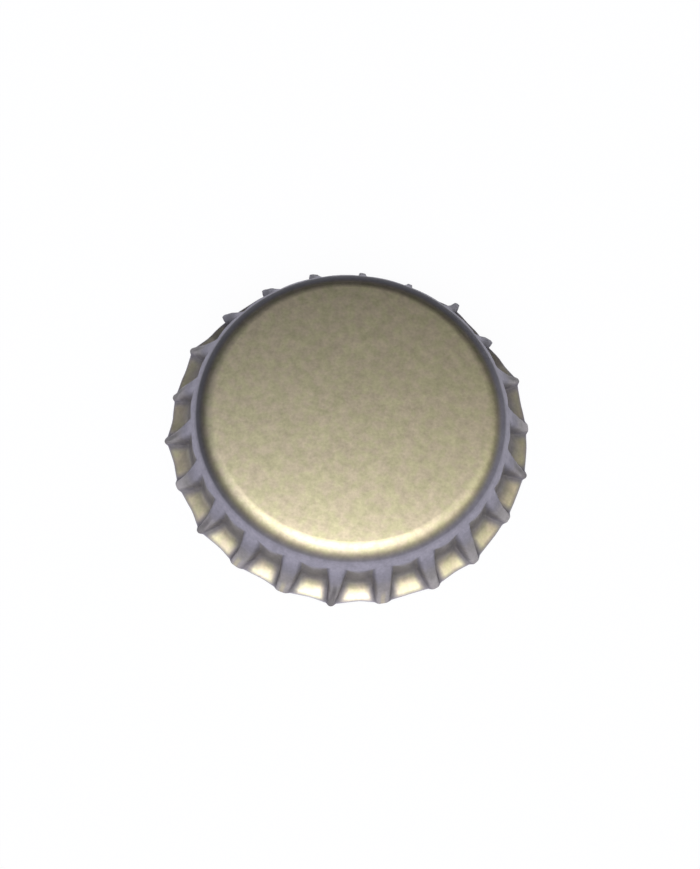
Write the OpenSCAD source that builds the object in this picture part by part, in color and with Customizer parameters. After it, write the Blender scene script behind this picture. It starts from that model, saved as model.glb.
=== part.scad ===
// Crown cork for a bottle, as it leaves the press: an uncrimped tinplate cap
// with a flaring fluted skirt, and the moulded liner that seals on the bottle's lip.
// The cap stands on its teeth, its axis is Z, and z = 0 is the plane of the teeth.

/* [Cap] */
// Overall height, from the teeth to the crest of the cambered top
cap_height = 6.0; // [5:0.1:8]
// Inside diameter at the top of the skirt, where the bottle's lip goes in
inside_diameter = 27.2; // [22:0.1:34]
// Thickness of the tinplate
sheet_thickness = 0.24; // [0.18:0.01:0.3]
// Outside radius of the rounded edge of the top
corner_radius = 2.0; // [1.5:0.1:2.5]
// Radius of the slight camber of the top
camber_radius = 170; // [120:5:400]

/* [Skirt] */
// Number of flutes, each with one tooth
teeth = 22; // [16:2:28]
// How far the teeth reach out beyond the inside of the skirt's top, long and short ones on average
flare = 2.45; // [1.8:0.05:3]
// How much further the long teeth reach than the short ones between them
tooth_difference = 0.2; // [0:0.02:0.4]
// How far the teeth stand out from the middle of the hollow panels at the rim
tooth_height = 0.7; // [0.5:0.05:0.9]
// Depth of the smooth shoulder, from the crest of the top to the start of the flutes
shoulder_depth = 2.0; // [1.8:0.05:2.4]
// Sag of the upper edge of each panel, in its middle
panel_sag = 0.3; // [0.1:0.05:0.6]
// How far the rim dips in from the sides of each panel to its middle
rim_hollow = 0.35; // [0:0.05:0.45]
// How late the panels turn from upright at the shoulder to flared at the rim: 2 is a parabola
panel_curve = 8; // [2:0.1:9]
// Half width of the top of a ridge, where it leaves the shoulder
ridge_root = 0.5; // [0.3:0.05:0.6]
// Half width of the top of a ridge at a long tooth
long_tooth_width = 0.08; // [0.06:0.02:0.3]
// Half width of the top of a ridge at a short tooth
short_tooth_width = 0.2; // [0.1:0.02:0.5]
// Width of the slope on each side of a ridge
ridge_slope = 0.54; // [0.3:0.02:0.6]

/* [Liner] */
// Depth of the sealing ring, from the sheet to its land
ring_depth = 0.85; // [0.6:0.05:1.2]
// Thickness of the film over the middle
film_thickness = 0.2; // [0.15:0.05:0.4]
// Diameter inside the sealing ring
ring_bore = 20; // [14:0.2:21]
// Rounding of the ring's edges
ring_rounding = 0.35; // [0.1:0.05:0.5]
// Gap between the sheet and the liner
liner_gap = 0.02; // [0.01:0.01:0.05]

/* [Hidden] */
$fn = 96;

// Heights of the rings of the skirt, as parts of the fluted height
ring_levels = [0, 0.04, 0.1, 0.4, 0.62, 0.75, 0.84, 0.91, 0.96, 1];
// Places of the points between a ridge and the middle of a panel, as parts of that distance
flute_places = [0, 0.075, 0.16, 0.26, 0.38, 0.58, 1];
// Depth and side play of the skirt where it is let into the shoulder's wall
lap_depth = 0.15;
lap_play = 0.01;
// Steps in angle and in height over which the slope of the fluted sheet is taken
slope_turn = 0.2;
slope_rise = 0.05;
// Facets of the whole circle that the camber is a part of
camber_facets = 1440;
// How far the circle of the rounded edge stands proud, so that it crosses the camber and the cone
// instead of only touching them
edge_proud = 0.002;
// How far cutting shapes reach past what they cut
overshoot = 1;

half_sheet = sheet_thickness / 2;
neck_z = cap_height - shoulder_depth;
pitch = 360 / teeth;

// The middle of the sheet: at the top of the skirt, and at a tooth of mean reach.
// The ridges run straight from one to the other, at this angle from upright.
wall_r = inside_diameter / 2 + half_sheet;
tooth_r = inside_diameter / 2 + flare;
ridge_angle = acos(half_sheet / norm([tooth_r - wall_r, neck_z])) - atan2(neck_z, tooth_r - wall_r);
ridge_normal = [cos(ridge_angle), sin(ridge_angle)];

// The rounded edge touches the line of the ridges on one side and the camber on the other.
camber_z = cap_height - camber_radius;
edge_foot = [wall_r, neck_z - camber_z] * ridge_normal - (corner_radius - half_sheet);
edge_rise = sqrt(pow(camber_radius - corner_radius, 2) - pow(edge_foot, 2));
edge_centre = [0, camber_z] + edge_foot * ridge_normal + edge_rise * [-ridge_normal.y, ridge_normal.x];
camber_edge = [edge_centre.x, edge_centre.y - camber_z] / (camber_radius - corner_radius);

function mix(a, b, t) = a + (b - a) * t;

// Height of the top surface at a radius on the camber, under the sheet or not
function camber_height(r, depth) = camber_z + sqrt(pow(camber_radius - depth, 2) - r * r);

// Radius of the cone that the ridges lie on, at the middle of the sheet
function cone_r(z) = wall_r + (neck_z - z) * tan(ridge_angle);

// Radius of a ridge at its crest. Long and short teeth stand in turn round the rim.
function crest_r(z, long) = cone_r(z) + (long ? 1 : -1) * tooth_difference / 2 * (1 - z / neck_z);

// Radius of a panel: it follows the cone to its upper edge, then drops upright and flares to the rim.
// side is 0 in the middle of the panel and 1 at the middle of the ridge, where the rim reaches furthest.
function panel_r(z, side) =
    let (edge_z = neck_z - panel_sag * (1 - side * side))
    let (rim_r = cone_r(0) - tooth_height + rim_hollow * pow(abs(side), 1.5))
    z >= edge_z ? cone_r(z) : mix(cone_r(edge_z), rim_r, pow(1 - z / edge_z, panel_curve));

// Height of a ridge above its panel at a distance from its crest, from 1 down to 0
function ridge_shape(x, top_half) = (1 + cos(180 * min(1, max(0, x - top_half) / ridge_slope))) / 2;

// Radius of the middle of the fluted sheet
function skirt_r(angle, z) =
    let (tooth = round(angle / pitch))
    let (off = abs(angle - tooth * pitch))
    let (long = tooth % 2 == 0)
    let (top_half = mix(long ? long_tooth_width : short_tooth_width, ridge_root, z / neck_z))
    let (panel = panel_r(z, 1 - 2 * off / pitch))
    mix(panel, crest_r(z, long), ridge_shape(off * PI / 180 * panel, top_half));

// A point of one face of the fluted sheet, set off from its middle along the sheet's own normal
function skirt_point(angle, z, offset) =
    let (r = skirt_r(angle, z))
    let (arc = 2 * slope_turn * PI / 180 * r)
    let (turn = (skirt_r(angle + slope_turn, z) - skirt_r(angle - slope_turn, z)) / arc)
    let (lean = (skirt_r(angle, z + slope_rise) - skirt_r(angle, z - slope_rise)) / (2 * slope_rise))
    let (level = norm([1, turn]))
    let (out = offset * norm([level, lean]) / (level * level))
    [(r + out) * cos(angle) + out * turn * sin(angle), (r + out) * sin(angle) - out * turn * cos(angle), z];

// Angles of the points round one flute, from the crest of a ridge to just short of the next
flute_angles = let (last = len(flute_places) - 1) [
    for (k = [0 : last]) flute_places[k] * pitch / 2,
    for (k = [last - 1 : -1 : 1]) pitch - flute_places[k] * pitch / 2
];

// One ring of the skirt, at the given height
function ring(z, offset) =
    [for (t = [0 : teeth - 1], a = flute_angles) skirt_point(t * pitch + a, z, offset)];

// The ring that is let into the shoulder's wall, on the cone
function lap_ring(offset) =
    let (z = neck_z + lap_depth)
    let (r = cone_r(z) + offset / cos(ridge_angle))
    [for (t = [0 : teeth - 1], a = flute_angles) [r * cos(t * pitch + a), r * sin(t * pitch + a), z]];

// Section of everything under the cap's surface, or under a surface set in from it. Its three pieces
// overlap: all under the camber, the full circle of the rounded edge, and all under the cone.
module cap_section(inset) {
    edge_r = corner_radius - inset;
    cone_side = (half_sheet - inset) / cos(ridge_angle);
    intersection() {
        translate([0, neck_z]) square([tooth_r, shoulder_depth + overshoot]);
        union() {
            intersection() {
                translate([0, camber_z]) circle(r = camber_radius - inset, $fn = camber_facets);
                polygon([
                    [0, camber_z],
                    [0, camber_z] + (camber_radius + overshoot) * camber_edge,
                    [0, cap_height + overshoot]
                ]);
            }
            translate(edge_centre) circle(r = edge_r + edge_proud);
            polygon([
                edge_centre,
                edge_centre + edge_r * ridge_normal,
                [cone_r(0) + cone_side, 0],
                [0, 0]
            ]);
        }
    }
}

// All points of one face of the skirt, ring under ring. The first two are let into the shoulder.
function skirt_face(side) =
    let (let_in = side * (half_sheet - lap_play))
    concat(
        lap_ring(let_in),
        ring(neck_z, let_in),
        [for (k = [1 : len(ring_levels) - 1]) each ring(neck_z * (1 - ring_levels[k]), side * half_sheet)]
    );

// The fluted skirt: its outer and inner faces, closed in the shoulder and at the cut rim
module skirt() {
    outside = skirt_face(1);
    inside = skirt_face(-1);
    around = teeth * len(flute_angles);
    bands = len(ring_levels);
    inner = len(outside);
    bottom = bands * around;
    // Two triangles over four points that run a, b above and c, d below, split along a mirrored diagonal
    function split(a, b, c, d, k) = k % len(flute_angles) < len(flute_angles) / 2
        ? [[a, b, d], [a, d, c]]
        : [[a, b, c], [b, d, c]];
    polyhedron(
        points = concat(outside, inside),
        faces = [
            for (k = [0 : around - 1]) let (n = (k + 1) % around) each concat(
                [for (i = [0 : bands - 1]) let (a = i * around, c = a + around)
                    each split(a + k, a + n, c + k, c + n, k)],
                [for (i = [0 : bands - 1]) let (a = inner + i * around, c = a + around)
                    each split(c + k, c + n, a + k, a + n, k + len(flute_angles) / 2)],
                split(inner + k, inner + n, k, n, k),
                split(bottom + k, bottom + n, inner + bottom + k, inner + bottom + n, k)
            )
        ],
        convexity = 6
    );
}

module crown_shell() {
    color([0.72, 0.65, 0.48]) {
        rotate_extrude() difference() {
            cap_section(0);
            cap_section(sheet_thickness);
        }
        skirt();
    }
}

// What is taken off the ring's inner edge to round it
module ring_edge_waste(r, z) {
    difference() {
        translate([r, z]) square(ring_rounding);
        translate([r + ring_rounding, z + ring_rounding]) circle(r = ring_rounding);
    }
}

// The liner fills the inside of the top: a thin film, and a ring with a flat land for the bottle's lip
module seal_liner() {
    under_sheet = sheet_thickness + liner_gap;
    land_z = camber_height(edge_centre.x, under_sheet) - ring_depth;
    ring_r = ring_bore / 2;
    color([0.88, 0.88, 0.84])
        rotate_extrude() difference() {
            intersection() {
                cap_section(under_sheet);
                translate([0, land_z]) square([tooth_r, cap_height]);
            }
            intersection() {
                cap_section(under_sheet + film_thickness);
                square([ring_r, cap_height]);
            }
            ring_edge_waste(ring_r, land_z);
        }
}

crown_shell();
seal_liner();
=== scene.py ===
import bpy
import bmesh
import math
from mathutils import Matrix, Vector


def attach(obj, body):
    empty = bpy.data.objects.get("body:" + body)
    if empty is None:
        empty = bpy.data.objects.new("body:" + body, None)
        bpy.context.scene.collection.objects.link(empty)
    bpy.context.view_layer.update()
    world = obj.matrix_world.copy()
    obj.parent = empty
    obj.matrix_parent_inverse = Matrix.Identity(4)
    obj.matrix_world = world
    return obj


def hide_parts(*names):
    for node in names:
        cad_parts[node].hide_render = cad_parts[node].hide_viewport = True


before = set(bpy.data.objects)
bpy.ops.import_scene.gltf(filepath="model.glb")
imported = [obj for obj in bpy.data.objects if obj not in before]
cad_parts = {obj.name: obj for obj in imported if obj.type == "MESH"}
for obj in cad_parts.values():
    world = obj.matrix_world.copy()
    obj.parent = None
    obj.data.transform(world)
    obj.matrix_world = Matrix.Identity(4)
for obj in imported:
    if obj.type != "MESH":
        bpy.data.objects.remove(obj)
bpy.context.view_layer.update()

mm = 0.001


def mix(a, b, t):
    return a + (b - a) * t


def fade(value, start, end):
    t = min(1, max(0, (value - start) / (end - start)))
    return t * t * (3 - 2 * t)


# Where the camera stands, in degrees and millimetres. Azimuth 0 looks along +Y.
cameraSizes = {
    "azimuth": 5.94,
    "elevation": 67.5,
    "roll": 7.6,
    "distance": 287,
    "pixelsPerMm": 11.313,
    "pictureHeight": 869,
    "aimRight": 0.137,
    "aimUp": 0.17,
    "sensor": 36,
    "clip": (10, 10000),       # nearest and furthest that it sees
}


def placeCamera(sizes):
    elevation, turn, roll = (math.radians(sizes[k]) for k in ("elevation", "azimuth", "roll"))
    right = Vector((1, 0, 0))
    forward = Vector((0, math.cos(elevation), -math.sin(elevation)))
    up = right.cross(forward)
    rolledRight = right * math.cos(roll) + up * math.sin(roll)
    rolledUp = up * math.cos(roll) - right * math.sin(roll)
    aim = (rolledRight * sizes["aimRight"] + rolledUp * sizes["aimUp"]) * mm
    place = Matrix((rolledRight, rolledUp, -forward)).transposed().to_4x4()
    place.translation = aim - forward * sizes["distance"] * mm
    bpy.ops.object.camera_add()
    camera = bpy.context.object
    camera.name = "camera"
    camera.matrix_world = Matrix.Rotation(turn, 4, "Z") @ place
    lens = camera.data
    lens.sensor_fit = "VERTICAL"
    lens.sensor_height = sizes["sensor"]
    lens.lens = sizes["pixelsPerMm"] * sizes["distance"] / sizes["pictureHeight"] * sizes["sensor"]
    lens.clip_start, lens.clip_end = (limit * mm for limit in sizes["clip"])
    bpy.context.scene.camera = camera


placeCamera(cameraSizes)
print("camera placed")


# Modelling ring by ring, which the shell and the liner share. A ring's place is its radius and height in
# millimetres.
def selectVerts(mesh, wanted):
    bm = bmesh.from_edit_mesh(mesh)
    bm.verts.ensure_lookup_table()
    for part in (bm.verts, bm.edges, bm.faces):
        for element in part:
            element.select = False
    for index in wanted:
        bm.verts[index].select = True
    bm.select_flush(True)
    bmesh.update_edit_mesh(mesh)


def selectedVerts(mesh):
    return [vert.index for vert in bmesh.from_edit_mesh(mesh).verts if vert.select]


def extrudeRing(mesh, ring, start, end):
    selectVerts(mesh, ring)
    bpy.ops.mesh.extrude_edges_move(TRANSFORM_OT_translate={"value": (0, 0, (end[1] - start[1]) * mm)})
    scale = end[0] / start[0]
    if scale != 1:
        bpy.ops.transform.resize(value=(scale, scale, 1), center_override=(0, 0, 0))
    return selectedVerts(mesh)


def extrudeProfile(mesh, ring, profile):
    for start, end in zip(profile, profile[1:]):
        ring = extrudeRing(mesh, ring, start, end)
    return ring


def closePole(mesh, ring, start, height):
    extrudeRing(mesh, ring, start, (start[0], height))
    bpy.ops.mesh.merge(type="CENTER")


def finishModelling():
    bpy.ops.mesh.select_all(action="SELECT")
    bpy.ops.mesh.normals_make_consistent(inside=False)
    bpy.ops.object.mode_set(mode="OBJECT")


# The surfaces that lie under the top's outer face, at a given depth. The camber is a sphere, and the
# rounded edge starts at a tilt in degrees and ends where it meets the camber.
def camberHeight(radius, depth, sizes):
    centre = sizes["height"] - sizes["camberRadius"]
    return centre + math.sqrt((sizes["camberRadius"] - depth) ** 2 - radius ** 2)


def camberRings(edge, depth, shares, sizes):
    return [(edge * share, camberHeight(edge * share, depth, sizes)) for share in shares]


def cornerRings(start, depth, steps, sizes):
    centreRadius, centreHeight = sizes["cornerCentre"]
    arc = sizes["cornerRadius"] - depth
    camberCentre = sizes["height"] - sizes["camberRadius"]
    end = math.degrees(math.atan2(centreRadius, centreHeight - camberCentre))
    tilts = [math.radians(mix(start, end, k / steps)) for k in range(steps + 1)]
    return [(centreRadius + arc * math.sin(tilt), centreHeight + arc * math.cos(tilt)) for tilt in tilts]


# The pressed tinplate cap. Radii and heights are those of the middle of the sheet, in millimetres.
shellSizes = {
    "sheet": 0.24,
    "height": 5.999,           # to the crest of the top
    "camberRadius": 170,       # of the outer face
    "cornerRadius": 2.0,       # of the outer face
    "cornerCentre": (11.80, 3.585),    # radius and height
    "coneAngle": 28.74,        # of the shoulder and the ridges, from upright
    "neck": 4.0,               # height and radius at which the cone of the shoulder is measured
    "neckRadius": 13.72,
    "fluteTop": 4.2,           # height at which the flutes start beside the ridges
    "rimLift": 0.114,          # of the middle of the sheet at the cut rim
    "flutes": 22,
    "toothHeight": 0.4,        # of the teeth beyond the middle of the panels, at the rim
    "panelSag": 0.5,           # of the upper edge of each panel, in its middle
    "panelCurve": 7.0,         # how late the panels turn from upright to flared
    "dipCurve": 1.5,           # how late the rim turns out again towards the ridges
    # half width of a ridge's top and width of its slopes, both at the tooth and at the shoulder, how far
    # the tooth reaches beyond the cone, and how far the rim dips from there to the middle of a panel
    "teeth": {
        "sharp": {"top": (0.03, 0.5), "slope": (0.42, 0.58), "reach": 0.06, "dip": 0.35},
        "plain": {"top": (0.16, 0.5), "slope": (0.5, 0.58), "reach": 0.0, "dip": 0.35},
        "blunt": {"top": (0.3, 0.5), "slope": (0.5, 0.58), "reach": -0.08, "dip": 0.35},
        "spike": {"top": (0.08, 0.15), "slope": (0.26, 0.34), "reach": 0.05, "dip": -0.15},
    },
    # places of the columns, from the crest of a ridge to the middle of a panel
    "columns": (0, 0.05, 0.10, 0.15, 0.20, 0.26, 0.32, 0.39, 0.47, 0.60, 0.80, 1),
    # heights of the rings below the top of the flutes
    "rings": (4.12, 4.05, 3.97, 3.88, 3.79, 3.7, 3.6, 3.44, 3.0, 2.4, 1.84, 1.44, 1.12, 0.88, 0.66, 0.46,
              0.28, 0.12, 0.03, 0),
    "cornerSteps": 18,
    "topRings": (0.82, 0.6, 0.38, 0.16),
    "toothSpread": 2.2,        # how far round it the sheet follows a tooth that is moved
    "cutRound": 0.03,          # rounding of the cut edge's corners, with its segments and least angle
    "cutSegments": 2,
    "cutAngle": 60,
    "smoothAngle": 50,
}

# Each tooth clockwise from +X: its kind, how much further it reaches and how far it leans
# anticlockwise, and how far the rim of the panel after it stands out, in millimetres
toothMoves = (
    ("sharp", 0.05, 0.07, 0.22), ("plain", 0.01, 0.20, 0.24), ("plain", 0.15, -0.18, 0.15),
    ("plain", 0.06, 0.07, 0.13), ("blunt", -0.02, -0.22, -0.05), ("sharp", 0.0, -0.23, -0.01),
    ("blunt", -0.08, -0.16, -0.04), ("blunt", -0.08, -0.31, 0.02), ("sharp", 0.08, -0.20, 0.02),
    ("plain", -0.08, -0.27, 0.08), ("sharp", 0.17, -0.07, 0.04), ("sharp", -0.14, 0.22, 0.08),
    ("sharp", 0.13, -0.06, -0.10), ("spike", -0.09, 0.08, -0.24), ("spike", -0.12, 0.19, -0.20),
    ("spike", -0.07, 0.13, -0.16), ("spike", -0.13, 0.13, -0.16), ("spike", -0.26, 0.20, -0.08),
    ("spike", 0.26, 0.11, -0.12), ("spike", -0.15, 0.04, 0.02), ("sharp", 0.17, 0.19, 0.15),
    ("plain", -0.03, 0.12, 0.24),
)


# In the functions below z is a height, and place runs from 0 on the crest of a ridge to 1 in the middle
# of a panel.
def coneRadius(z, sizes):
    return sizes["neckRadius"] + (sizes["neck"] - z) * math.tan(math.radians(sizes["coneAngle"]))


def panelEdge(place, sizes):
    return sizes["fluteTop"] - sizes["panelSag"] * (1 - (1 - place) ** 2)


def panelRadius(z, place, kind, sizes):
    edge = panelEdge(place, sizes)
    dip = sizes["teeth"][kind]["dip"]
    rim = coneRadius(0, sizes) - sizes["toothHeight"] + dip * (1 - place) ** sizes["dipCurve"]
    if z >= edge:
        return coneRadius(z, sizes)
    return mix(coneRadius(edge, sizes), rim, (1 - z / edge) ** sizes["panelCurve"])


def crestDistance(z, place, kind, sizes):
    return place * math.pi / sizes["flutes"] * panelRadius(z, place, kind, sizes)


def beyondRidge(z, place, kind, sizes):
    # distance from the edge of a ridge's top
    top = mix(*sizes["teeth"][kind]["top"], z / sizes["neck"])
    return crestDistance(z, place, kind, sizes) - top


def ridgeShare(z, place, kind, sizes):
    # 1 on the crest of a ridge, 0 on a panel
    width = mix(*sizes["teeth"][kind]["slope"], z / sizes["neck"])
    slope = beyondRidge(z, place, kind, sizes) / width
    return (1 + math.cos(math.pi * min(1, max(0, slope)))) / 2


def skirtRadius(z, place, kind, sizes):
    ridge = coneRadius(z, sizes) + sizes["teeth"][kind]["reach"] * (1 - z / sizes["neck"])
    return mix(panelRadius(z, place, kind, sizes), ridge, ridgeShare(z, place, kind, sizes))


# What is painted on the lacquer: lilac-grey and duller on the shoulder and the ridges, painted shade in a
# ring round the top, a little off its centre, and in a frame round each panel, and painted highlights and
# shade on the flares, the ridges and the teeth. Lengths are in millimetres, the rest are shares. How far
# a place faces the front runs from -1 at +Y to 1 at -Y.
paintedLookSizes = {
    # the painted shade ring round the top, and where the lacquer turns lilac-grey
    "ringShift": 0.28,             # of the ring's inner edge towards the front
    "ringInside": (12.3, 13.0),    # radii over which the ring begins
    "foldInside": (12.6, 13.2),    # and over which the lacquer turns lilac-grey
    "ringFoot": (4.36, 4.68),      # heights over which the ring ends
    "ringDark": (0.46, 0.81),      # on its faint and on its dark side
    "ringDarkWay": (-0.64, 0.77),  # the direction of the dark side, and the cosines between the two
    "ringDarkSpread": (-1, 0.5),
    "foldShare": (0.04, 0.32),     # of the height of a ridge, over which it turns lilac-grey
    "panelEdgeSoft": (0.12, 0.95), # beside the ridges and in the middle of a panel
    # the painted shade of the frame round each panel
    "frameSide": (0.4, 1.1),       # from the top of a ridge to the clear part of a panel
    "frameSlant": 0.25,            # how much further that is above, by height
    "frameDepth": (2.3, 3.3),      # from the upper edge of a panel to its clear part
    "frameLower": 0.75,            # how much further that is away from the front
    "frameFront": (-0.9, 0.9),
    # share of the painted frame shade that is lilac-grey too
    "frameFold": 0.8,
    "frameDark": 0.47,
    "archLight": 0.25,             # how much lighter the painted frame shade is in the middle, above these heights
    "archPlace": (0.45, 1),
    "archHeight": (1.9, 3.0),
    "flareLight": 0.25,            # painted highlight: how much lighter the clear part is at the front
    "flareFront": (0.5, 1),
    "rimBand": (0.09, 0.21),       # the strip along the cut edge, the edge's own duller tone with painted shade, ends over these heights
    "rimFold": 0.7,
    "rimDark": 0.5,
    # painted shade on the flanks of a ridge, and down the ridge itself
    "flankDark": 0.25,
    "ridgeDepth": (0.3, 1.4),      # below the neck, where painted shade darkens a ridge
    "tipHeight": (0.6, 1.6),       # and lighter again at its tooth
    "ridgeDark": 0.25,
    "bareHeight": (1.6, 2.8),      # the ridges are less lilac-grey below these heights
    "bareShare": 0.2,
    "spikeHeight": (1.5, 3.5),     # painted shade: a spike and the panel beside it are darker below these instead
    "spikeDark": 0.35,
    "creaseHeight": (1.5, 2.4),    # the painted dark reflection down the crest of a sharp tooth ends over these heights
    "creaseWidth": (0.08, 0.22),
    "creaseDark": 0.45,
    "patchHeight": (0.8, 1.4),     # the less lilac-grey end of a blunt tooth ends over these heights
    "patchWidth": (0.1, 0.26),
    "patchShare": 0.45,
}


# both give how lilac-grey the lacquer is, and its painted light and shade
def paintTop(x, y, z, paintedLook):
    # painted shade: a dark ring round the top, a little off its centre and darker towards the back
    radius = math.hypot(x, y + paintedLook["ringShift"])
    ring = fade(radius, *paintedLook["ringInside"]) * fade(z, *paintedLook["ringFoot"])
    wayX, wayY = paintedLook["ringDarkWay"]
    dark = mix(*paintedLook["ringDark"], fade((wayX * x + wayY * y) / radius, *paintedLook["ringDarkSpread"]))
    return fade(radius, *paintedLook["foldInside"]), 1 - dark * ring


def paintSkirt(x, y, z, sizes, paintedLook):
    turn = math.atan2(y, x) / (2 * math.pi / sizes["flutes"])
    ridge = round(turn)
    place = min(1, abs(turn - ridge) * 2)
    kind = toothMoves[-ridge % sizes["flutes"]][0]
    front = -y / math.hypot(x, y)
    z = max(0, z)
    share = ridgeShare(z, place, kind, sizes)

    # the panel: its clear part, the painted shade of the frame round that, and the strip along the cut
    # edge
    edge = panelEdge(place, sizes)
    shoulder = fade(z, edge - mix(*paintedLook["panelEdgeSoft"], place ** 2), edge)
    aside = beyondRidge(z, place, kind, sizes) - paintedLook["frameSlant"] * z
    depth = edge - z - paintedLook["frameLower"] * (1 - fade(front, *paintedLook["frameFront"]))
    clear = fade(aside, *paintedLook["frameSide"]) * fade(depth, *paintedLook["frameDepth"])
    frameShade = (1 - clear) * (1 - share)
    strip = (1 - fade(z, *paintedLook["rimBand"])) * (1 - share)
    pale = (1 - shoulder) * (1 - paintedLook["frameFold"] * frameShade) * (1 - paintedLook["rimFold"] * strip)
    fold = 1 - pale * (1 - fade(share, *paintedLook["foldShare"]))
    frameShade *= 1 - shoulder
    arch = 1 - paintedLook["archLight"] * fade(place, *paintedLook["archPlace"]) * fade(z, *paintedLook["archHeight"])
    # painted shade in the frame, lighter in its middle, and along the cut edge
    light = 1 - max(paintedLook["frameDark"] * frameShade * arch, paintedLook["rimDark"] * strip)
    # painted highlight on the clear part of the panels at the front
    light *= 1 + paintedLook["flareLight"] * clear * fade(front, *paintedLook["flareFront"])

    # the ridge, its flanks and its tooth, with painted shade on the flanks and down the ridge
    flank = 4 * share * (1 - share) * (1 - shoulder)
    low = fade(sizes["neck"] - z, *paintedLook["ridgeDepth"]) * fade(z, *paintedLook["tipHeight"]) * share
    light *= (1 - paintedLook["flankDark"] * flank) * (1 - paintedLook["ridgeDark"] * low)
    # painted shade on the spikes and the panels beside them
    if kind == "spike":
        light *= 1 - paintedLook["spikeDark"] * (1 - fade(z, *paintedLook["spikeHeight"]))
    else:
        fold *= 1 - paintedLook["bareShare"] * share * (1 - shoulder) * (1 - fade(z, *paintedLook["bareHeight"]))
    distance = crestDistance(z, place, kind, sizes)
    # painted dark reflection down the crest of a sharp tooth
    if kind == "sharp":
        crestShade = (1 - fade(z, *paintedLook["creaseHeight"])) * (1 - fade(distance, *paintedLook["creaseWidth"]))
        light *= 1 - paintedLook["creaseDark"] * crestShade
    if kind == "blunt":
        patch = (1 - fade(z, *paintedLook["patchHeight"])) * (1 - fade(distance, *paintedLook["patchWidth"]))
        fold *= 1 - paintedLook["patchShare"] * patch
    return fold, light


def newMasks(mesh, names):
    for name in names:
        mesh.attributes.new(name, "FLOAT", "POINT")
    return [mesh.attributes[name].data for name in names]


def paintShell(mesh, sizes, paintedLook):
    fold, light = newMasks(mesh, ("fold", "light"))
    for vert in mesh.vertices:
        x, y, z = (value / mm for value in vert.co)
        if z > sizes["fluteTop"]:
            painted = paintTop(x, y, z, paintedLook)
        else:
            painted = paintSkirt(x, y, z, sizes, paintedLook)
        fold[vert.index].value, light[vert.index].value = painted


def moveRim(mesh, rim, angle, reach, lean, spread):
    # one point of the rim is pushed out and to a side, and the sheet round it follows
    out = Vector((math.cos(angle), math.sin(angle), 0))
    side = Vector((-out.y, out.x, 0))
    tip = max(rim, key=lambda index: mesh.vertices[index].co.normalized().dot(out))
    selectVerts(mesh, [tip])
    bpy.ops.transform.translate(
        value=(out * reach + side * lean) * mm, use_proportional_edit=True,
        proportional_edit_falloff="SMOOTH", proportional_size=spread * mm,
    )


def moveTeeth(mesh, rim, sizes):
    pitch = 2 * math.pi / sizes["flutes"]
    spread = sizes["toothSpread"]
    for number, (_, reach, lean, panelReach) in enumerate(toothMoves):
        moveRim(mesh, rim, -number * pitch, reach, lean, spread)
        moveRim(mesh, rim, -(number + 0.5) * pitch, panelReach, 0, spread)


def spaceColumns(mesh, sizes):
    # the columns close up on the ridges, and those that are shaped alike are given back together
    columns = sizes["columns"]
    half = len(columns) - 1
    halfPitch = math.pi / sizes["flutes"]
    turned = {}
    alike = {}
    bm = bmesh.from_edit_mesh(mesh)
    for vert in bm.verts:
        step = round(math.atan2(vert.co.y, vert.co.x) / halfPitch * half)
        ridge = round(step / (2 * half))
        step -= ridge * 2 * half
        turned.setdefault(step, []).append(vert.index)
        kind = toothMoves[-ridge % sizes["flutes"]][0] if abs(step) < half else "plain"
        alike.setdefault((kind, abs(step)), []).append(vert.index)
    for step, verts in turned.items():
        turn = (math.copysign(columns[abs(step)], step) - step / half) * halfPitch
        if 0 < abs(step) < half:
            selectVerts(mesh, verts)
            bpy.ops.transform.rotate(value=-turn, orient_axis="Z", center_override=(0, 0, 0))
    return alike


def pressSkirt(mesh, ring, alike, sizes):
    # from the top of the flutes down to the rim
    top = sizes["fluteTop"]
    height = top
    radii = {key: coneRadius(top, sizes) for key in alike}
    for z in sizes["rings"]:
        place = z + sizes["rimLift"] * (1 - z / top)
        ring = extrudeRing(mesh, ring, (1, height), (1, place))
        height = place
        for (kind, step), verts in alike.items():
            radius = skirtRadius(z, sizes["columns"][step], kind, sizes)
            scale = radius / radii[(kind, step)]
            radii[(kind, step)] = radius
            selectVerts(mesh, [ring[0] + vert for vert in verts])
            bpy.ops.transform.resize(value=(scale, scale, 1), center_override=(0, 0, 0))
    return ring


def pressTop(mesh, ring, sizes):
    # the cone of the shoulder, the rounded edge and the cambered top
    top, depth = sizes["fluteTop"], sizes["sheet"] / 2
    profile = [(coneRadius(top, sizes), top)]
    profile += cornerRings(90 - sizes["coneAngle"], depth, sizes["cornerSteps"], sizes)
    profile += camberRings(profile[-1][0], depth, sizes["topRings"], sizes)
    ring = extrudeProfile(mesh, ring, profile)
    closePole(mesh, ring, profile[-1], camberHeight(0, depth, sizes))


def thickenSheet(shell, sizes):
    mesh = shell.data
    wall = shell.modifiers.new("wall", "SOLIDIFY")
    wall.thickness = sizes["sheet"] * mm
    wall.offset = 0
    wall.use_even_offset = True
    wall.material_offset = 1       # marks the inside
    wall.material_offset_rim = 2   # marks the cut edge
    for _ in range(3):
        mesh.materials.append(None)
    bpy.ops.object.modifier_apply(modifier="wall")
    masks = newMasks(mesh, ("inside", "cut"))
    for face in mesh.polygons:
        if face.material_index > 0:
            for vert in face.vertices:
                masks[face.material_index - 1][vert].value = 1
        face.material_index = 0
    mesh.materials.clear()


def roundCutEdge(shell, sizes):
    rounding = shell.modifiers.new("cut edge", "BEVEL")
    rounding.width = sizes["cutRound"] * mm
    rounding.segments = sizes["cutSegments"]
    rounding.limit_method = "ANGLE"
    rounding.angle_limit = math.radians(sizes["cutAngle"])
    bpy.ops.object.modifier_apply(modifier="cut edge")


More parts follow.
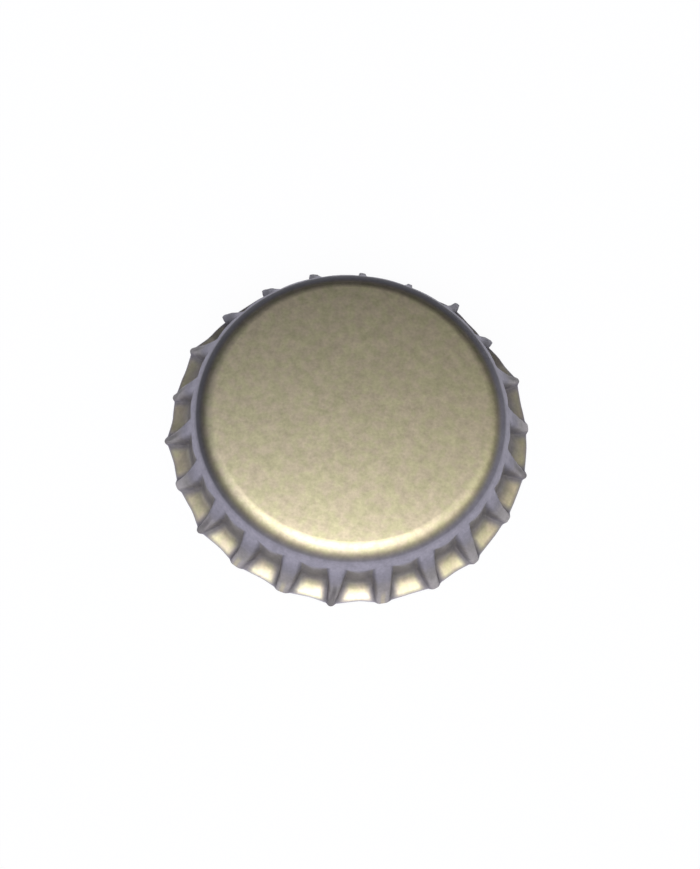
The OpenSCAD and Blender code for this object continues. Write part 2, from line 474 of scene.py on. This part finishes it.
def buildShell(sizes, paintedLook):
    top = sizes["fluteTop"]
    count = sizes["flutes"] * (len(sizes["columns"]) - 1) * 2
    bpy.ops.mesh.primitive_circle_add(vertices=count, radius=coneRadius(top, sizes) * mm)
    shell = bpy.context.object
    shell.name = "pressedShell"
    mesh = shell.data
    bpy.ops.object.mode_set(mode="EDIT")
    bpy.ops.mesh.select_mode(type="VERT")
    bpy.ops.transform.translate(value=(0, 0, top * mm))
    alike = spaceColumns(mesh, sizes)
    rim = pressSkirt(mesh, list(range(count)), alike, sizes)
    pressTop(mesh, list(range(count)), sizes)
    finishModelling()

    # painted before the teeth are moved, so that the lilac-grey and the painted light and shade follow
    # them
    paintShell(mesh, sizes, paintedLook)
    bpy.ops.object.mode_set(mode="EDIT")
    moveTeeth(mesh, rim, sizes)
    bpy.ops.object.mode_set(mode="OBJECT")
    thickenSheet(shell, sizes)
    roundCutEdge(shell, sizes)
    bpy.ops.object.shade_smooth_by_angle(angle=math.radians(sizes["smoothAngle"]))
    return shell


shell = buildShell(shellSizes, paintedLookSizes)
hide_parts("crown_shell")
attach(shell, "root")
print("shell pressed:", len(shell.data.polygons), "faces")


# The moulded liner, in millimetres
linerSizes = {
    "gap": 0.02,               # between the sheet and the liner
    "landHeight": 4.479,       # of the flat face that meets the bottle's lip
    "film": 0.2,
    "bore": 10.0,              # radius inside the ring
    "rounding": 0.35,
    "sides": 192,
    "cornerSteps": 8,
    "roundSteps": 5,
    "topRings": (0.8, 0.55, 0.3, 0.12),
    "smoothAngle": 40,
}


def linerProfiles(sizes, cap):
    # both start at the inner edge of the land: one runs out and over the top, the other through the bore
    under = cap["sheet"] + sizes["gap"]
    land, bore, rounding = sizes["landHeight"], sizes["bore"], sizes["rounding"]
    start = (bore + rounding, land)
    foot = math.degrees(math.acos((land - cap["cornerCentre"][1]) / (cap["cornerRadius"] - under)))
    outside = [start, *cornerRings(foot, under, sizes["cornerSteps"], cap)]
    outside += camberRings(outside[-1][0], under, sizes["topRings"], cap)
    inside = [start]
    for k in range(1, sizes["roundSteps"] + 1):
        turn = math.pi / 2 * k / sizes["roundSteps"]
        inside.append((bore + rounding * (1 - math.sin(turn)), land + rounding * (1 - math.cos(turn))))
    depth = under + sizes["film"]
    inside.append((bore, camberHeight(bore, depth, cap)))
    inside += camberRings(bore, depth, sizes["topRings"], cap)
    return (outside, under), (inside, depth)


def buildLiner(sizes, cap):
    profiles = linerProfiles(sizes, cap)
    radius, height = profiles[0][0][0]
    bpy.ops.mesh.primitive_circle_add(vertices=sizes["sides"], radius=radius * mm)
    liner = bpy.context.object
    liner.name = "mouldedLiner"
    mesh = liner.data
    bpy.ops.object.mode_set(mode="EDIT")
    bpy.ops.mesh.select_mode(type="VERT")
    bpy.ops.transform.translate(value=(0, 0, height * mm))
    first = selectedVerts(mesh)
    for profile, depth in profiles:
        ring = extrudeProfile(mesh, first, profile)
        closePole(mesh, ring, profile[-1], camberHeight(0, depth, cap))
    finishModelling()
    bpy.ops.object.shade_smooth_by_angle(angle=math.radians(sizes["smoothAngle"]))
    return liner


liner = buildLiner(linerSizes, shellSizes)
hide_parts("seal_liner")
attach(liner, "root")
print("liner moulded:", len(liner.data.polygons), "faces")


# materials
def plug(tree, socket, value):
    # a value is set on the socket, or another socket is linked to it
    if isinstance(value, bpy.types.NodeSocket):
        tree.links.new(value, socket)
    elif isinstance(value, tuple) and socket.type == "RGBA":
        socket.default_value = (*value, 1)
    else:
        socket.default_value = value


def addNode(tree, kind, **values):
    node = tree.nodes.new(kind)
    for name, value in values.items():
        plug(tree, next(s for s in node.inputs if s.name.replace(" ", "") == name and s.enabled), value)
    return node


def addMath(tree, operation, *values):
    node = tree.nodes.new("ShaderNodeMath")
    node.operation = operation
    for socket, value in zip(node.inputs, values):
        plug(tree, socket, value)
    return node.outputs[0]


def addVectorMath(tree, operation, first, second):
    node = addNode(tree, "ShaderNodeVectorMath", Vector=first)
    node.operation = operation
    node.inputs[1].default_value = second
    return node


def addMix(tree, factor, a, b, blend="MIX"):
    node = tree.nodes.new("ShaderNodeMix")
    node.data_type = "RGBA"
    node.blend_type = blend
    plug(tree, node.inputs["Factor"], factor)
    colours = [s for s in node.inputs if s.type == "RGBA"]
    plug(tree, colours[0], a)
    plug(tree, colours[1], b)
    return next(s for s in node.outputs if s.type == "RGBA")


def addShade(tree, colour, level):
    # the colour, lighter or darker by a level
    grey = addNode(tree, "ShaderNodeCombineColor", Red=level, Green=level, Blue=level)
    return addMix(tree, 1.0, colour, grey.outputs[0], "MULTIPLY")


def addRange(tree, value, low, high, toLow=0.0, toHigh=1.0):
    ends = {"FromMin": low, "FromMax": high, "ToMin": toLow, "ToMax": toHigh}
    return addNode(tree, "ShaderNodeMapRange", Value=value, **ends).outputs["Result"]


def addGrain(tree, shader, height, depth):
    bump = addNode(tree, "ShaderNodeBump", Height=height, Distance=depth, Strength=1.0)
    plug(tree, shader.inputs["Normal"], bump.outputs["Normal"])


def addMask(tree, name):
    node = tree.nodes.new("ShaderNodeAttribute")
    node.attribute_name = name
    return node.outputs["Fac"]


def newMaterial(name):
    material = bpy.data.materials.new(name)
    material.use_nodes = True
    tree = material.node_tree
    tree.nodes.clear()
    shader = tree.nodes.new("ShaderNodeBsdfPrincipled")
    out = tree.nodes.new("ShaderNodeOutputMaterial")
    tree.links.new(shader.outputs["BSDF"], out.inputs["Surface"])
    return material, tree, shader


def dress(piece, material):
    piece.data.materials.clear()
    piece.data.materials.append(material)


# soft blotches, a finer grain on them, and blotches of their own for the tint
mottleLook = {
    "blotch": {"Detail": 2.5, "Roughness": 0.6},
    "fine": {"Detail": 2.0, "Roughness": 0.5},
    "tint": {"Detail": 2.0, "Roughness": 0.5},
    "fineScale": 3.1,          # against that of the blotches
    "tintScale": 0.8,
    "fineShare": 0.6,
    "tintShift": (0.37, 0.11, 0.53),
}


def makeMottle(look):
    # puts out a level about 1, a tint about 0.5 and a height
    group = bpy.data.node_groups.new("mottle", "ShaderNodeTree")
    face = group.interface
    face.new_socket("Vector", in_out="INPUT", socket_type="NodeSocketVector")
    for name in ("Scale", "Strength"):
        face.new_socket(name, in_out="INPUT", socket_type="NodeSocketFloat")
    for name in ("Level", "Tint", "Height"):
        face.new_socket(name, in_out="OUTPUT", socket_type="NodeSocketFloat")
    start = group.nodes.new("NodeGroupInput")
    end = group.nodes.new("NodeGroupOutput")
    place, scale, strength = (start.outputs[k] for k in ("Vector", "Scale", "Strength"))

    def noise(name, vector, size):
        node = addNode(group, "ShaderNodeTexNoise", Vector=vector, Scale=size, **look[name])
        return node.outputs["Fac"]

    blotch = noise("blotch", place, scale)
    fine = noise("fine", place, addMath(group, "MULTIPLY", scale, look["fineScale"]))
    aside = addVectorMath(group, "ADD", place, look["tintShift"]).outputs[0]
    tint = noise("tint", aside, addMath(group, "MULTIPLY", scale, look["tintScale"]))
    fineLevel = addMath(group, "MULTIPLY", addMath(group, "SUBTRACT", fine, 0.5), look["fineShare"])
    both = addMath(group, "ADD", addMath(group, "SUBTRACT", blotch, 0.5), fineLevel)
    plug(group, end.inputs["Level"], addMath(group, "MULTIPLY_ADD", both, strength, 1.0))
    plug(group, end.inputs["Tint"], tint)
    plug(group, end.inputs["Height"], fine)
    return group


def addMottle(tree, group, look):
    node = tree.nodes.new("ShaderNodeGroup")
    node.node_tree = group
    plug(tree, node.inputs["Vector"], tree.nodes.new("ShaderNodeTexCoord").outputs["Object"])
    node.inputs["Scale"].default_value = look["mottleScale"]
    node.inputs["Strength"].default_value = look["mottleStrength"]
    return node.outputs["Level"], node.outputs["Tint"], node.outputs["Height"]


lacquer = {
    "goldGreen": (0.568, 0.52, 0.306),
    "goldPink": (0.596, 0.511, 0.338),
    "tintSpread": (0.4, 0.6),      # of the mottle's tint, from the first gold to the second
    "inside": (0.55, 0.49, 0.37),
    "strained": (0.282, 0.268, 0.303),
    "cut": (0.36, 0.34, 0.37),
    "metallic": (0.95, 0.12),      # plain and lilac-grey
    "roughness": (0.3, 0.5),
    "specular": 0.2,
    "mottleScale": 1250,           # to the metre
    "mottleStrength": 0.55,
    "grainDepth": 0.000004,        # in metres
}


def lacquerMaterial(look, mottle):
    material, tree, shader = newMaterial("lacqueredTinplate")
    fold, light, inside, cut = (addMask(tree, name) for name in ("fold", "light", "inside", "cut"))
    outer = addMath(tree, "SUBTRACT", 1.0, inside)
    fold = addMath(tree, "MULTIPLY", fold, outer)
    level, tint, height = addMottle(tree, mottle, look)
    colour = addMix(tree, addRange(tree, tint, *look["tintSpread"]), look["goldGreen"], look["goldPink"])
    colour = addMix(tree, inside, colour, look["inside"])
    colour = addMix(tree, fold, colour, look["strained"])
    outerPaintedLight = addMath(tree, "MULTIPLY_ADD", outer, addMath(tree, "SUBTRACT", light, 1.0), 1.0)
    # the mottle, and on the outer face the painted light and shade
    colour = addShade(tree, colour, addMath(tree, "MULTIPLY", level, outerPaintedLight))
    plug(tree, shader.inputs["Base Color"], addMix(tree, cut, colour, look["cut"]))
    dull = addMath(tree, "MAXIMUM", fold, cut)
    plug(tree, shader.inputs["Metallic"], addRange(tree, dull, 0, 1, *look["metallic"]))
    plug(tree, shader.inputs["Roughness"], addRange(tree, dull, 0, 1, *look["roughness"]))
    shader.inputs["Specular IOR Level"].default_value = look["specular"]
    addGrain(tree, shader, height, look["grainDepth"])
    return material


compound = {
    "colour": (0.74, 0.735, 0.70),
    "roughness": 0.48,
    "mottleScale": 2600,           # to the metre
    "mottleStrength": 0.12,
    "grainDepth": 0.000008,        # in metres
}


def compoundMaterial(look, mottle):
    material, tree, shader = newMaterial("sealingCompound")
    level, _, height = addMottle(tree, mottle, look)
    plug(tree, shader.inputs["Base Color"], addShade(tree, look["colour"], level))
    shader.inputs["Roughness"].default_value = look["roughness"]
    addGrain(tree, shader, height, look["grainDepth"])
    return material


mottle = makeMottle(mottleLook)
dress(shell, lacquerMaterial(lacquer, mottle))
dress(liner, compoundMaterial(compound, mottle))
print("materials made")

# The studio, with distances in metres and angles in degrees
studio = {
    "floorSize": 1.2,
    "floorColour": (0.93, 0.93, 0.93),
    "floorGlow": 0.93,         # its share of plain white as the camera sees it
    "floorGlowInMetal": 0.6,   # and as metal shows it
    "lampSize": 0.3,
    "lampPower": 0.29,
    "lampDistance": 0.45,
    "lampTilt": 9,             # from the zenith towards the camera
    "lampTurn": -10,           # and from there to the right
    # the room: its brightness by height, from the horizon to the zenith
    "room": (
        (0.0, (0.045, 0.047, 0.1)),
        (0.45, (0.055, 0.057, 0.08)),
        (0.85, (0.056, 0.057, 0.065)),
        (1.0, (0.165, 0.162, 0.16)),
    ),
    # soft glows in it: tilt from the zenith, turn from the camera's side to the right, narrowness, colour
    "glows": (
        (20, 0, 7.5, (1.79, 1.83, 2.12)),
        (20, 0, 20.0, (0.0, 0.02, 0.25)),
        (54, 0, 2.0, (0.87, 0.86, 0.875)),
        (42, 88, 6.5, (0.75, 0.75, 0.74)),
        (44, -90, 4.0, (0.25, 0.265, 0.33)),
    ),
}


def makeFloor(look):
    bpy.ops.mesh.primitive_plane_add(size=look["floorSize"])
    floor = bpy.context.object
    floor.name = "floor"
    material, tree, shader = newMaterial("paleFloor")
    tree.nodes.remove(shader)
    out = tree.nodes["Material Output"]
    diffuse = addNode(tree, "ShaderNodeBsdfDiffuse", Color=look["floorColour"])
    glow = addNode(tree, "ShaderNodeEmission", Color=(1.0, 1.0, 1.0), Strength=1.0)
    rays = tree.nodes.new("ShaderNodeLightPath").outputs
    seen = addMath(tree, "MAXIMUM", rays["Is Camera Ray"], rays["Is Transmission Ray"])
    mirrored = addMath(tree, "MULTIPLY", rays["Is Glossy Ray"], look["floorGlowInMetal"])
    share = addMath(tree, "MULTIPLY_ADD", seen, look["floorGlow"], mirrored)
    both = tree.nodes.new("ShaderNodeMixShader")
    plug(tree, both.inputs["Fac"], share)
    plug(tree, both.inputs[1], diffuse.outputs[0])
    plug(tree, both.inputs[2], glow.outputs[0])
    plug(tree, out.inputs["Surface"], both.outputs[0])
    dress(floor, material)


def leaning(tilt, turn):
    # a direction that leans from the zenith towards the camera, turned from there to the right
    lean, around = math.radians(tilt), math.radians(cameraSizes["azimuth"] + turn)
    return Matrix.Rotation(around, 3, "Z") @ Vector((0, -math.sin(lean), math.cos(lean)))


def makeRoom(look):
    world = bpy.data.worlds.new("room")
    bpy.context.scene.world = world
    world.use_nodes = True
    tree = world.node_tree
    tree.nodes.clear()
    out = tree.nodes.new("ShaderNodeOutputWorld")
    direction = tree.nodes.new("ShaderNodeTexCoord").outputs["Generated"]
    height = addNode(tree, "ShaderNodeSeparateXYZ", Vector=direction).outputs["Z"]
    ramp = addNode(tree, "ShaderNodeValToRGB", Fac=height)
    steps = ramp.color_ramp.elements
    while len(steps) < len(look["room"]):
        steps.new(0.5)
    for step, (place, colour) in zip(steps, look["room"]):
        step.position = place
        step.color = (*colour, 1)
    total = ramp.outputs["Color"]
    for tilt, turn, narrowness, colour in look["glows"]:
        facing = addVectorMath(tree, "DOT_PRODUCT", direction, leaning(tilt, turn)).outputs["Value"]
        glow = addMath(tree, "POWER", addMath(tree, "MAXIMUM", facing, 0.0), narrowness)
        glow = addVectorMath(tree, "MULTIPLY", glow, colour).outputs["Vector"]
        total = addMix(tree, 1.0, total, glow, "ADD")
    # the camera itself sees plain white past the floor
    seen = tree.nodes.new("ShaderNodeLightPath").outputs["Is Camera Ray"]
    total = addMix(tree, seen, total, (1.0, 1.0, 1.0))
    back = addNode(tree, "ShaderNodeBackground", Color=total)
    plug(tree, out.inputs["Surface"], back.outputs[0])


def hangLamp(look):
    direction = leaning(look["lampTilt"], look["lampTurn"])
    bpy.ops.object.light_add(type="AREA", location=direction * look["lampDistance"])
    lamp = bpy.context.object
    lamp.name = "overhead"
    lamp.rotation_euler = direction.to_track_quat("Z", "Y").to_euler()
    lamp.data.shape = "DISK"
    lamp.data.size = look["lampSize"]
    lamp.data.energy = look["lampPower"]


makeFloor(studio)
makeRoom(studio)
hangLamp(studio)
bpy.context.scene.view_settings.view_transform = "Standard"
print("studio lit")
